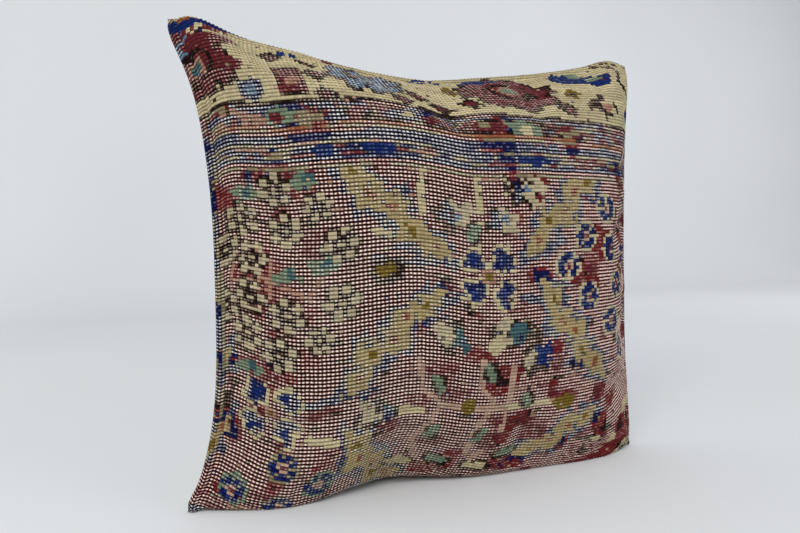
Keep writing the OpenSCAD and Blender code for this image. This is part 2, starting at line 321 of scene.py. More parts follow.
def woven_grid(panel, columns, rows, taken=0):
    """A panel's surface as threads of the cloth cross it: evenly spaced both ways. Near the middle of
    the top the seam takes in more rows than at the corners."""
    across = np.stack([evenly(row, columns) for row in panel])
    u = np.linspace(-1, 1, columns)
    middle = 1 - u**4
    return np.stack([evenly(across[:, i], rows, taken * middle[i]) for i in range(columns)], axis=1)


# -------------------- the cover settles under pressure

CLOTH_BENDING, CLOTH_SLACK, CLOTH_PRESSURE = 12, 0.015, 6
CLOTH_FRAMES, CLOTH_CAP = 18, 7 * MM
CELLS_X, CELLS_Z = 57, 51
FLOOR_HOLD = 12 * MM

front_panel = panel_surface(CELLS_X, CELLS_Z, FRONT_DEPTH, front_settle, -1)
back_panel = panel_surface(CELLS_X, CELLS_Z, BACK_DEPTH, back_settle, 1)
zipped = near_zip(back_panel[..., 0], back_panel[..., 2])
bow_y = BOW_Y + np.sqrt(BOW_R**2 - back_panel[..., 0] ** 2) + 2 * MM
back_panel[..., 1] = back_panel[..., 1] * (1 - zipped) + bow_y * zipped


def held_lines(panel):
    """What the cloth holds still: 1 at the lip, fading up from the floor."""
    lip = len(LIP_LINES)
    held = np.zeros(panel.shape[:2])
    held[:lip] = held[-lip:] = 1
    held[:, :lip] = held[:, -lip:] = 1
    return np.maximum(held, 1 - smooth(panel[..., 2] / FLOOR_HOLD))


held_back = np.maximum(held_lines(back_panel), zipped)
front_panel, back_panel = relax_cover(front_panel, back_panel, held_lines(front_panel), held_back)

# -------------------- camera

CAMERA_YAW, CAMERA_PITCH, CAMERA_ROLL = 21.5, 2.63, -1.04
CAMERA_AT = Vector((-0.267, SEAM_Y - 0.593, 0.225))
CAMERA_FOCUS = 703 / 800

camera_data = bpy.data.cameras.new("camera")
camera_data.sensor_width = 36
camera_data.lens = 36 * CAMERA_FOCUS
camera = bpy.data.objects.new("camera", camera_data)
bpy.context.scene.collection.objects.link(camera)
yaw, pitch = math.radians(CAMERA_YAW), math.radians(CAMERA_PITCH)
forward = Vector((math.sin(yaw) * math.cos(pitch), math.cos(yaw) * math.cos(pitch), -math.sin(pitch)))
turn = forward.to_track_quat("-Z", "Y").to_matrix().to_4x4()
roll = Matrix.Rotation(math.radians(CAMERA_ROLL), 4, "Z")
camera.matrix_world = Matrix.Translation(CAMERA_AT) @ turn @ roll
bpy.context.scene.camera = camera

# -------------------- shader helpers


def srgb(r, g, b):
    """A colour given as a person reads it, 0 to 255, as Blender wants it."""
    shares = np.array([r, g, b]) / 255
    return tuple(float(c / 12.92 if c <= 0.04045 else ((c + 0.055) / 1.055) ** 2.4) for c in shares)


class Shader:
    """A material with a Principled shader, and short names for the nodes that feed it."""

    def __init__(self, name, roughness=0.9, sheen=0.0, metallic=0.0, specular=0.3):
        self.material = bpy.data.materials.new(name)
        self.material.use_nodes = True
        self.tree = self.material.node_tree
        self.skin = self.tree.nodes["Principled BSDF"]
        self.skin.inputs["Roughness"].default_value = roughness
        self.skin.inputs["Sheen Weight"].default_value = sheen
        self.skin.inputs["Sheen Roughness"].default_value = 0.5
        self.skin.inputs["Metallic"].default_value = metallic
        self.skin.inputs["Specular IOR Level"].default_value = specular

    def plug(self, socket, value):
        """Links a socket to a node's output, or sets it to a number or a colour."""
        if isinstance(value, bpy.types.NodeSocket):
            self.tree.links.new(value, socket)
        elif isinstance(value, tuple):
            socket.default_value = (*value, 1)
        else:
            socket.default_value = value

    def math(self, kind, a, b=0.0, c=0.0):
        node = self.tree.nodes.new("ShaderNodeMath")
        node.operation = kind
        for socket, value in zip(node.inputs, (a, b, c)):
            self.plug(socket, value)
        return node.outputs[0]

    def times(self, a, b):
        return self.math("MULTIPLY", a, b)

    def plus(self, a, b):
        return self.math("ADD", a, b)

    def blend(self, a, by, more):
        """a times by, plus more."""
        return self.math("MULTIPLY_ADD", a, by, more)

    def rest(self, a):
        """What is left of 1."""
        return self.math("SUBTRACT", 1.0, a)

    def mix(self, share, a, b, kind="MIX"):
        node = self.tree.nodes.new("ShaderNodeMix")
        node.data_type = "RGBA"
        node.blend_type = kind
        node.clamp_factor = True
        for at, value in ((0, share), (6, a), (7, b)):
            self.plug(node.inputs[at], value)
        return node.outputs[2]

    def attribute(self, name, output="Vector"):
        node = self.tree.nodes.new("ShaderNodeAttribute")
        node.attribute_name = name
        return node.outputs[output]

    def split(self, vector):
        node = self.tree.nodes.new("ShaderNodeSeparateXYZ")
        self.tree.links.new(vector, node.inputs[0])
        return node.outputs

    def join(self, x, y, z=0.0):
        node = self.tree.nodes.new("ShaderNodeCombineXYZ")
        for socket, value in zip(node.inputs, (x, y, z)):
            self.plug(socket, value)
        return node.outputs[0]

    def position(self):
        return self.tree.nodes.new("ShaderNodeTexCoord").outputs["Object"]

    def noise(self, at, scale, detail, roughness=0.5):
        node = self.tree.nodes.new("ShaderNodeTexNoise")
        self.tree.links.new(at, node.inputs["Vector"])
        node.inputs["Scale"].default_value = scale
        node.inputs["Detail"].default_value = detail
        node.inputs["Roughness"].default_value = roughness
        return node.outputs["Fac"]

    def white(self, at):
        node = self.tree.nodes.new("ShaderNodeTexWhiteNoise")
        self.tree.links.new(at, node.inputs["Vector"])
        return node.outputs["Value"]

    def ramp(self, value, low, high, a=0.0, b=1.0):
        node = self.tree.nodes.new("ShaderNodeMapRange")
        node.interpolation_type = "SMOOTHSTEP"
        self.tree.links.new(value, node.inputs[0])
        for socket, number in zip(node.inputs[1:5], (low, high, a, b)):
            socket.default_value = number
        return node.outputs[0]

    def bump(self, height, distance, strength):
        node = self.tree.nodes.new("ShaderNodeBump")
        node.inputs["Strength"].default_value = strength
        node.inputs["Distance"].default_value = distance
        self.tree.links.new(height, node.inputs["Height"])
        self.tree.links.new(node.outputs[0], self.skin.inputs["Normal"])

    def colour(self, socket):
        self.tree.links.new(socket, self.skin.inputs["Base Color"])

    def roughness(self, socket):
        self.tree.links.new(socket, self.skin.inputs["Roughness"])

    def ridge(self, value):
        """0 at each whole number, 1 halfway between."""
        fraction = self.math("FRACT", value)
        return self.rest(self.math("ABSOLUTE", self.blend(fraction, 2.0, -1.0)))


# -------------------- the rug's knots

COLS, ROWS = 137, 150

# The design is drawn on squared paper, 125 squares by 128, and knotted a little finer than that
DESIGN_W, DESIGN_H = 125, 128

# Each wool: its own colour, the tint that it leaves on bare cotton where it has worn away, and how
# far it has worn, from 0 for full pile to 1 for bare.
WOOLS = {
    "madder": ((124, 36, 38), (255, 222, 210), 0.93),
    "maroon": ((108, 40, 46), (222, 176, 168), 0.6),
    "salmon": ((186, 140, 118), (230, 204, 184), 0.5),
    "cream": ((216, 201, 158), (236, 224, 192), 0.25),
    "camel": ((190, 168, 120), (230, 214, 176), 0.4),
    "rose": ((204, 168, 146), (240, 214, 198), 0.35),
    "ink": ((14, 20, 84), (196, 202, 214), 0.4),
    "ecru": ((150, 136, 104), (232, 218, 190), 0.7),
    "beige": ((208, 193, 158), (238, 224, 198), 0.3),
    "navy": ((14, 20, 78), (232, 232, 230), 0.66),
    "blue": ((22, 44, 108), (150, 166, 192), 0.3),
    "sky": ((112, 136, 164), (212, 218, 220), 0.55),
    "teal": ((70, 106, 112), (168, 186, 178), 0.45),
    "green": ((128, 146, 120), (200, 208, 184), 0.5),
    "brown": ((36, 18, 16), (216, 188, 164), 0.5),
    "olive": ((128, 104, 38), (186, 166, 106), 0.35),
    "orange": ((160, 94, 62), (222, 186, 156), 0.6),
}
NAMES = list(WOOLS)
chart = np.full((ROWS, COLS), NAMES.index("madder"))
knot_places = [(np.arange(n) + 0.5) * size / n for n, size in ((COLS, DESIGN_W), (ROWS, DESIGN_H))]
KNOT_C, KNOT_R = np.meshgrid(*knot_places)
CELL_C, CELL_R = np.meshgrid(np.arange(COLS), np.arange(ROWS))


def mottle(wide, high, seed):
    """Noise over the knots, from -1 to 1, with features this wide and high."""
    return noise(KNOT_C / wide, KNOT_R / high, seed)


def tie(where, wool):
    """Ties knots of one wool wherever the condition holds."""
    chart[where] = NAMES.index(wool)


def band(low, high, wool, where=True):
    """Rows of knots, from one place to another."""
    tie((KNOT_R > low) & (KNOT_R < high + 1) & where, wool)


def row_line(r, wool, where=True):
    """One row of knots."""
    tie((np.round(KNOT_R * ROWS / DESIGN_H) == round(r * ROWS / DESIGN_H)) & where, wool)


def patch(c, r, wide, high, wool, ragged=0.0, seed=1):
    """A rounded patch of knots, its edge broken by ragged knots or so."""
    edge = 1 + ragged * mottle(1.6, 1.6, seed) / max(wide, high) * 2
    tie(((KNOT_C - c) / (wide / 2)) ** 2 + ((KNOT_R - r) / (high / 2)) ** 2 < edge**2, wool)


def block(c, r, wide, high, wool):
    tie((np.abs(KNOT_C - c) < wide / 2) & (np.abs(KNOT_R - r) < high / 2), wool)


def stripe(points, wide, wool):
    """A stem: a broken line through the points."""
    for (c0, r0), (c1, r1) in zip(points, points[1:]):
        dc, dr = c1 - c0, r1 - r0
        t = clamp(((KNOT_C - c0) * dc + (KNOT_R - r0) * dr) / (dc * dc + dr * dr))
        tie(np.hypot(KNOT_C - c0 - t * dc, KNOT_R - r0 - t * dr) < wide / 2, wool)


def rosette(c, r, size=0.96):
    """Six petals round a dark eye, each with a dark outline."""
    turns = np.radians(np.arange(0, 360, 60) + 10 * (c % 5))
    around_eye = [(c + 3.2 * size * math.cos(a), r + 3.1 * size * math.sin(a)) for a in turns]
    for x, y in around_eye:
        patch(x, y, 3.5 * size, 3.3 * size, "brown")
    patch(c, r, 4, 4, "brown")
    for x, y in around_eye:
        patch(x, y, 2.4 * size, 2.2 * size, "beige")
    patch(c, r, 1.3, 1.3, "beige")


def ring_flower(c, r, outline="beige", seed=0):
    """A round flower of dark and lighter blue petals round a rose eye, in a pale ring."""
    patch(c, r, 7.8, 7.6, outline, 0.4, seed)
    turn = np.degrees(np.arctan2(KNOT_R - r, KNOT_C - c)) % 45
    ring = np.hypot(KNOT_C - c, KNOT_R - r)
    tie((ring < 3.2) & (ring > 1.2) & (turn > 8), "ink")
    tie((ring < 3.2) & (ring > 1.2) & (turn > 30), "blue")
    tie(ring < 1.3, "rose")
    tie(ring < 0.7, "maroon")


def quatrefoil(c, r, lobe="ink"):
    """Four dark blue lobes, outlined in cream, round a small flower, with the ground between them."""
    corners = [(side_c, side_r) for side_c in (-1, 1) for side_r in (-1, 1)]
    for wool, grow in (("cream", 1.5), (lobe, 0)):
        for side_c, side_r in corners:
            patch(c + 3.6 * side_c, r + 4 * side_r, 4.4 + grow, 5 + grow, wool, 1.4, 3)
            patch(c + 5.2 * side_c, r + 2.6 * side_r, 3 + grow, 2.2 + grow, wool)
    for side_c, side_r in corners:
        patch(c + 3.9 * side_c, r + 4.2 * side_r, 2.4, 2.6, "blue", 1, 7)
    for side in (-1, 1):
        patch(c, r + 6.2 * side, 1.8, 5, "madder")
        patch(c + 6.4 * side, r, 5, 1.5, "madder")
    block(c, r, 3.4, 3, "salmon")
    block(c, r, 1.4, 1.4, "olive")


def leaf(start, end, wide):
    """A long serrated leaf: camel lobes to either side of its stem, edged with ecru and navy teeth."""
    (c0, r0), (c1, r1) = start, end
    length = math.hypot(c1 - c0, r1 - r0)
    along_c, along_r = (c1 - c0) / length, (r1 - r0) / length
    spine = (KNOT_C - c0) * along_c + (KNOT_R - r0) * along_r
    across = (KNOT_R - r0) * along_c - (KNOT_C - c0) * along_r
    lobes = max(2, round(length / 5.5))
    broken = mottle(1.5, 1.5, 5)
    for grow, wool in ((2.3, "navy"), (0.4, "ecru"), (0, "camel")):
        for k in range(lobes):
            middle, side = (k + 0.5) / lobes * length, 0.15 * wide * (-1) ** k
            reach = length / lobes * 0.95 + grow
            half = wide / 2 * (0.6 + 0.4 * math.sin(math.pi * (k + 0.8) / (lobes + 0.6))) + grow
            far = np.abs(spine - middle) / reach + np.abs(across - side) / half
            tie(far < 1 + 0.45 * broken, wool)
    for k in range(lobes):
        middle, side = (k + 0.5) / lobes * length, 0.1 * wide * (-1) ** k
        near = np.abs(spine - middle) / 1.9 + np.abs(across - side) / 1.1
        tie(near < 0.8 + 0.6 * broken, "orange" if k % 3 else "olive")


def bud(c, r, lean):
    """A green bud in a brown outline, leaning right for 1 and left for -1."""
    patch(c, r, 4.4, 5.4, "brown")
    stripe([(c - 0.7 * lean, r - 1.3), (c + 0.7 * lean, r + 1.3)], 2.2, "green")


def tulip(c, r, wool="teal"):
    """A flower seen from the side: a coloured heart with ragged beige petals at its left."""
    patch(c - 0.6, r, 9, 7.4, "brown", 2.2, 11)
    patch(c - 2.2, r + 0.3, 4, 5.6, "beige", 2.6, 12)
    patch(c + 1.6, r + 0.3, 3.4, 5, wool, 2.4, 13)
    patch(c + 2.4, r - 0.8, 1.8, 2.4, "navy", 1, 14)


def palmette(c, r, wide, high, wool="maroon", heart="teal", top="blue"):
    """A large flower of the border: ragged petals outlined in brown, round a small heart."""
    turns = np.radians(np.arange(0, 360, 45) + 12)
    layers = ((0.35, 0.34, 0.37, 0.36, "brown"), (0.34, 0.33, 0.27, 0.25, wool))
    for out_c, out_r, petal_w, petal_h, petal in layers:
        for k, turn in enumerate(turns):
            at = (c + wide * out_c * math.cos(turn), r + high * out_r * math.sin(turn))
            patch(*at, wide * petal_w, high * petal_h, petal, 1.3, k)
    patch(c, r, wide * 0.48, high * 0.46, "brown", 1.5, 19)
    patch(c, r, wide * 0.38, high * 0.34, wool, 1.5, 20)
    patch(c, r, wide * 0.24, high * 0.2, "salmon", 1.5, 21)
    patch(c, r, wide * 0.17, high * 0.16, heart)
    patch(c - wide * 0.2, r + high * 0.38, wide * 0.42, high * 0.14, top, 1, 22)


def sprig(c, r, wool="brown", heart="maroon"):
    """A small ragged diamond."""
    far = np.abs(KNOT_C - c) / 3.1 + np.abs(KNOT_R - r) / 2.3
    tie(far < 1.05 + 0.3 * mottle(1.3, 1.3, 31), wool)
    patch(c, r, 2.4, 1.7, heart)


# The field: stems first, then leaves, then flowers over them
for seed, wool, share in ((41, "brown", 0.72), (43, "maroon", 0.6), (47, "salmon", 0.86)):
    tie((mottle(5, 2.2, seed) > share), wool)

stripe([(48, 42), (49, 35), (54, 31), (49, 20), (52, 13)], 1.35, "rose")
stripe([(64, 43), (64, 36), (68, 32), (64, 25), (64, 17)], 1.35, "rose")
stripe([(72, 41), (72, 31), (71, 24), (66, 15)], 1.35, "rose")
stripe([(54, 31), (72, 31)], 1.5, "rose")
stripe([(39, 30), (49, 29)], 2, "cream")
stripe([(72, 31), (90, 30)], 1.6, "cream")
stripe([(5, 60), (15, 62), (24, 58), (27, 63)], 1.1, "salmon")
stripe([(5, 57), (5, 65)], 1.1, "salmon")
stripe([(15, 58), (15, 66)], 1.1, "salmon")
stripe([(50, 87), (49, 76)], 1.6, "cream")
stripe([(63, 87), (63, 78)], 1.6, "cream")
stripe([(70, 87), (70, 83)], 1.6, "cream")
stripe([(57, 66), (38, 72)], 1.4, "cream")
stripe([(38, 66), (48, 64), (58, 66)], 1.2, "navy")
stripe([(74, 68), (86, 71)], 2, "navy")
stripe([(74, 58), (86, 55)], 2, "navy")
stripe([(58, 58), (48, 52)], 2, "navy")
stripe([(24, 34), (34, 37)], 2, "navy")
stripe([(24, 26), (34, 24)], 2, "cream")

leaf((32, 87), (53, 66), 6.8)
leaf((96, 88), (76, 70), 6.8)
leaf((51, 57), (32, 38), 6.8)
leaf((80, 59), (99, 37), 6.8)
leaf((33, 25), (48, 4), 6.5)
leaf((99, 27), (79, 15), 5)
leaf((-1, 34), (3, 42), 3)
leaf((0, 16), (4, 26), 3)
for c, r in ((11, 86), (17, 85), (24, 86)):
    stripe([(c - 2.5, r + 3), (c, r), (c + 2.5, r + 3)], 1.8, "navy")
    stripe([(c, r), (c + 0.5, r - 3.4)], 1.6, "navy" if c != 17 else "blue")

upper_rosettes = ((8, 75), (17, 82), (18.5, 73), (31, 69.5), (10, 66), (3, 68), (10, 57), (3, 54))
lower_rosettes = ((19, 54), (31, 57), (9, 48), (17, 45))
for c, r in upper_rosettes + lower_rosettes:
    rosette(c, r)
for c, r in ((26.5, 78), (26, 49)):
    rosette(c, r, size=0.76)
for c, r in ((9, 81), (24, 84), (19, 63), (27, 65), (9, 40)):
    patch(c, r, 6, 3.6, "green", 1.6, c)
    patch(c + 1, r + 0.5, 2.4, 2, "teal")
quatrefoil(65, 63)
quatrefoil(15, 31, "navy")
right_rings = ((93, 72), (87, 65), (103, 69), (101, 79), (94, 57), (106, 59))
far_right_rings = ((103, 50), (105, 90), (114, 65), (117, 76), (116, 50), (111, 41))
for k, (c, r) in enumerate(right_rings + far_right_rings):
    ring_flower(c, r, seed=k)
for k, (c, r) in enumerate(((9, 10), (19, 19), (28, 14), (20, 8))):
    ring_flower(c, r, "ecru" if k % 2 else "green", seed=k)
for c, r in ((57, 76), (69, 76), (75, 83)):
    patch(c, r, 8.8, 7.4, "brown", 2, c)
    patch(c + 1, r, 7, 6, "beige", 2.6, c)
    patch(c - 2, r, 3, 4.6, "navy", 1.4, c)
    patch(c + 0.4, r + 0.4, 2, 2, "sky")
patch(41, 63, 7.5, 6, "brown", 1, 51)
patch(41, 63, 4.6, 3.4, "olive", 1, 52)
patch(61, 31, 4.2, 4, "olive", 0.6, 53)
patch(89, 30, 7, 3.6, "olive", 1, 54)
tulip(56, 48)
tulip(71, 49)
tulip(79, 43, "blue")
tulip(39, 30)
patch(67, 47, 4, 5, "cream", 1, 55)
for k, (c, r) in enumerate(((53, 36), (53, 23), (66, 40), (66, 23), (77, 32), (61, 73))):
    bud(c, r, 1 if k % 2 else -1)
for c, r in ((48, 12), (57, 14), (68, 13), (75, 17)):
    patch(c, r, 8, 4.4, "brown", 1.4, c)
    patch(c, r, 6, 3, "green" if c % 2 else "cream", 1.4, c)
block(81, 23, 7, 6, "maroon")
block(69, 21, 4, 5, "maroon")
patch(2, 1, 5, 5, "navy", 1, 56)
patch(7, 2, 6, 5, "maroon", 0.5, 57)
for k in range(8):
    patch(98 + 3.6 * k, 14 + 3 * (k % 3), 3.4, 3, "cream" if k % 2 else "brown", 1, k)
    patch(100 + 3.4 * k, 4 + 3 * (k % 2), 4, 3, "cream" if k % 3 else "brown", 1, k + 9)

# The guard bands, and the border above them
sag = 1.4 * bump(KNOT_C, 24, 20) + 1.3 * smooth((KNOT_C - 68) / 30)
KNOT_R = KNOT_R + sag * smooth((KNOT_R - 84) / 18)
span = np.floor(KNOT_C / 7 + 0.6 * mottle(9, 3, 61))
band(86, 102, "madder")
band(97, 100, "maroon")
band(97, 101, "ecru", mottle(3.2, 1.3, 62) > 0.3)
band(97, 101, "salmon", hash_grid(span, span * 0, 62) > 0.8)
band(97, 101, "brown", mottle(2.5, 1.5, 63) > 0.42)
band(97, 101, "navy", mottle(3.5, 1.4, 64) > 0.4)
row_line(101.4, "navy", mottle(6, 1, 65) > -0.1)
row_line(97.4, "brown", mottle(5, 1, 60) > 0.1)
patch(9, 98, 4, 4, "navy")
patch(9, 98, 2, 2, "maroon")
patch(21, 99, 9, 4.6, "green", 1.4, 51)
patch(20, 99, 3.4, 3, "maroon")
block(26, 98, 2, 4, "ecru")
patch(33, 98, 4.4, 4.2, "navy")
patch(49, 99, 6, 4.2, "navy", 1, 52)
patch(49, 99, 2.4, 2, "cream")
patch(77, 98.5, 9, 4.6, "green", 1.4, 53)
patch(78, 98.5, 4, 3, "cream", 1, 54)
patch(102, 97, 7, 5.4, "navy")
patch(102, 97, 3.6, 2.6, "maroon")
row_line(96.2, "orange", mottle(4, 1, 49) > -0.5)
row_line(95.3, "ecru", mottle(3, 1, 66) > -0.3)
band(92.6, 93.8, "navy")
row_line(92.2, "ecru", mottle(1.6, 1, 59) > -0.45)
band(88, 90.8, "navy")
band(89, 91, "ecru", mottle(4, 1.1, 67) > 0.36)
band(89, 91, "maroon", mottle(4, 1.1, 68) > 0.4)
band(90, 92, "salmon", mottle(5, 1.1, 69) > 0.62)
patch(29, 90.5, 5, 3, "blue", 1, 55)
patch(41, 90.5, 8, 3, "blue", 1, 56)
patch(78, 90.5, 9, 2.4, "blue", 1, 57)
row_line(87.2, "ecru", mottle(2, 1, 70) > -0.35)
band(102, 102, "brown")
band(103, 128, "cream")
palmette(3, 113, 19, 16, heart="teal", top="blue")
patch(12, 112, 6, 3.4, "maroon", 1, 70)
patch(2, 120, 5, 4, "sky", 1.6, 58)
patch(9, 119, 16, 3.4, "maroon", 1, 71)
band(121, 124, "maroon", (KNOT_C < 14) & (mottle(1, 3, 55) > -0.2))
stripe([(0, 125.5), (4, 124), (9, 125.5), (17, 126.5)], 3, "blue")
patch(4, 126, 2.6, 2.4, "orange")
patch(15, 105.5, 6.6, 5, "navy", 1.2, 72)
patch(15, 105.5, 3.6, 2.6, "sky")
palmette(44, 113, 19, 16, wool="sky", heart="teal", top="navy")
block(25.2, 107.8, 7, 8.6, "brown")
block(25.2, 107.8, 5.8, 7, "maroon")
in_square = (np.abs(KNOT_C - 25.2) < 3.5) & (np.abs(KNOT_R - 107.8) < 4.3)
tie(in_square & (CELL_R % 3 == 0) & (CELL_C % 3 == 0), "brown")
patch(25.2, 108, 2.8, 2.6, "salmon", 1, 50)
tie((np.abs(KNOT_C - 27) < 3.4) & (KNOT_R > 118) & (KNOT_R < 122) & (CELL_C % 3 < 2), "blue")
stripe([(36, 123), (43, 124)], 1.8, "maroon")
palmette(81, 113.5, 26, 17, heart="green", top="blue")
patch(71, 113.5, 8, 4, "brown", 1.5, 48)
patch(71, 113.5, 6, 2.6, "maroon", 1.5, 48)
patch(60, 120, 9, 5, "blue", 1.6, 73)
patch(60, 120, 4, 2.4, "cream")
patch(101, 120, 9, 5, "blue", 1.8, 74)
patch(104, 121, 4, 3, "green")
patch(109, 118, 8, 4.6, "blue", 1.8, 75)
patch(109, 119, 4, 2.4, "green")
stripe([(112, 125), (118, 121), (116, 117), (121, 113), (122, 119)], 1.4, "brown")
stripe([(106, 126), (113, 127), (119, 124)], 1.2, "brown")
patch(106, 108, 9, 7, "brown", 2, 76)
patch(107, 108, 5.4, 4, "cream", 1.4, 77)
patch(107, 108, 3, 2.4, "salmon", 1, 78)
block(123.4, 110, 2.4, 6, "blue")
first_sprigs = ((23, 117), (31, 116.5), (32, 103.8), (50, 104.5), (55, 108))
more_sprigs = ((60, 105.5), (68, 107.5), (94, 106.5), (31.5, 110))
for c, r in first_sprigs + more_sprigs:
    sprig(c, r)
for c, r in ((66, 114.5), (98, 112.5)):
    sprig(c, r, "olive", "brown")

# The seam's lip on the left shows ticks of navy and cream
lip_knots = (KNOT_C < 2.2) & (KNOT_R > 30) & (KNOT_R < 98)
tie(lip_knots, "navy")
tie(lip_knots & (mottle(2, 5, 81) > 0.4), "ecru")
beside_lip = (KNOT_C > 1.8) & (KNOT_C < 2.8) & (KNOT_R > 26) & (KNOT_R < 90)
tie(beside_lip & (mottle(9, 6, 82) > 0), "ecru")

# Round the lower right corner the pile is brown and beige, not red
corner_knots = (KNOT_C > 104) & (KNOT_R < 9 + 3 * mottle(6, 6, 83))
tie(corner_knots & (mottle(3, 2, 84) > -0.25), "brown")
tie(corner_knots & (mottle(2.4, 2, 85) > 0.15), "beige")

# Stray knots and repairs, then how worn each knot is
stray = hash_grid(CELL_C, CELL_R, 91)
strays = np.array([NAMES.index(w) for w in ("brown", "maroon", "salmon", "ecru", "navy")])
chart[stray > 0.98] = strays[(hash_grid(CELL_C, CELL_R, 92)[stray > 0.98] * 4.99).astype(int)]

wool_of = np.array([srgb(*WOOLS[w][0]) for w in NAMES])[chart]
bare_of = np.array([srgb(*WOOLS[w][1]) for w in NAMES])[chart]
plain_cotton = np.array(srgb(255, 246, 232))
worn = np.array([WOOLS[w][2] for w in NAMES])[chart]
tread = bump(KNOT_C, 36, 26) * bump(KNOT_R, 52, 58)
full = smooth((mottle(6, 4.5, 93) - 0.22) / 0.2) * (1 - 0.6 * tread)
kept = smooth((KNOT_C - 84) / 30) * (1 - smooth((KNOT_R - 10) / 12))
worn = worn * (0.76 + 0.4 * tread + 0.2 * mottle(2, 2, 94)) * (1 - 0.75 * full)
worn = clamp(worn * (1 - 0.7 * kept) * (0.85 + 0.3 * hash_grid(CELL_C, CELL_R, 95)), 0, 1)
joined = clamp(0.22 + 0.6 * smooth((KNOT_C - 62) / 40) + 0.15 * mottle(7, 9, 96), 0, 1)
shade = 0.8 + 0.24 * hash_grid(CELL_C, CELL_R, 97) + 0.14 * mottle(12, 1.8, 98)
wool_of = wool_of * (shade * (1 - 0.4 * worn))[..., None]
bare_of += (plain_cotton - bare_of) * (0.1 + 0.5 * tread * (worn > 0.45))[..., None]
pile = 0.55 * (1 - worn) + 0.35 * kept

# -------------------- the rug panel

# Mesh cells to a knot each way
SUB = 2
RELIEF, RUG_THICK, SEAM_GAP = 0.42 * MM, 3.2 * MM, 0.3 * MM
TAKEN_IN = 6.5


def shell(name, outer, inner, side):
    """A closed sheet between two grids of points of the same size."""
    rows, columns = outer.shape[:2]
    count = rows * columns
    a, b = around(columns, rows), around(columns, rows, count)
    rim = np.stack([a, b, np.roll(b, -1), np.roll(a, -1)], axis=-1)
    faces = np.vstack([grid_faces(columns, rows), grid_faces(columns, rows, count, flip=True), rim])
    if side > 0:
        faces = faces[:, ::-1]
    return mesh_object(name, np.concatenate([outer.reshape(-1, 3), inner.reshape(-1, 3)]), faces)


def outward(grid, side):
    """Unit vectors out of the cushion. side is -1 for the front and 1 for the back."""
    return -side * grid_normals(grid)


def keep_side(grid, side, gap):
    """Keeps a face on its own side of the seam, and above the floor."""
    limit = SEAM_Y + side * gap
    grid[..., 1] = np.minimum(grid[..., 1], limit) if side < 0 else np.maximum(grid[..., 1], limit)
    grid[..., 2] = np.maximum(grid[..., 2], 0)
    return grid


def rug_panel():
    at_knots = woven_grid(front_panel, COLS + 1, ROWS + 1, TAKEN_IN)
    fine = np.stack([along(row, np.arange(COLS * SUB + 1) / SUB) for row in at_knots])
    down_rows = np.arange(ROWS * SUB + 1) / SUB
    fine = np.stack([along(column, down_rows) for column in fine.swapaxes(0, 1)], axis=1)
    rows_fine, columns_fine = fine.shape[:2]
    c, r = np.meshgrid(np.arange(columns_fine) / SUB, np.arange(rows_fine) / SUB)
    knot_c, knot_r = np.minimum(c.astype(int), COLS - 1), np.minimum(r.astype(int), ROWS - 1)
    in_knot = (c % 1 > 0.01) & (r % 1 > 0.01)
    grow = np.where(in_knot, 1, -0.6) * (0.6 + 0.8 * hash_grid(knot_c, knot_r, 101))
    height = RELIEF * grow * (0.6 + 0.5 * pile[knot_r, knot_c]) + 1.1 * MM * pile[knot_r, knot_c] * in_knot
    height += 0.5 * MM * noise(c / 11, r / 9, 102) + 0.25 * MM * noise(c / 3.1, r / 2.7, 103)
    height += 0.9 * MM * kept[knot_r, knot_c] * (hash_grid(c * SUB, r * SUB, 104) - 0.4)
    edge = np.minimum(np.minimum(c, COLS - c), np.minimum(r, ROWS - r))
    height *= smooth(edge / 2)
    out = outward(fine, -1)
    outer = keep_side(fine + out * (height - 0.6 * MM)[..., None], -1, SEAM_GAP + 0.3 * MM)
    inner = keep_side(fine - out * RUG_THICK, -1, SEAM_GAP)
    rug = shell("rug_front", outer, inner, -1)

    # Each face carries its knot: the wool's colour with the wear, and the bare cotton's with how far
    # the cotton's dots join into lines
    mesh = rug.data
    cells = np.indices((rows_fine - 1, columns_fine - 1)).reshape(2, -1) // SUB
    rim = np.zeros((2, len(mesh.polygons) - 2 * cells.shape[1]), int)
    rows_at, columns_at = np.hstack([cells, cells, rim])
    for name, colours, last in (("wool", wool_of, worn), ("cotton", bare_of, joined)):
        layer = mesh.attributes.new(name, "FLOAT_COLOR", "CORNER")
        values = np.concatenate([colours, last[..., None]], axis=-1)[rows_at, columns_at]
        layer.data.foreach_set("color", np.repeat(values, 4, axis=0).astype(np.float32).ravel())
    layer = mesh.attributes.new("knot_at", "FLOAT_VECTOR", "POINT")
    at = np.stack([c, r, kept[knot_r, knot_c]], axis=-1).reshape(-1, 3)
    layer.data.foreach_set("vector", np.vstack([at, at]).astype(np.float32).ravel())
    return rug


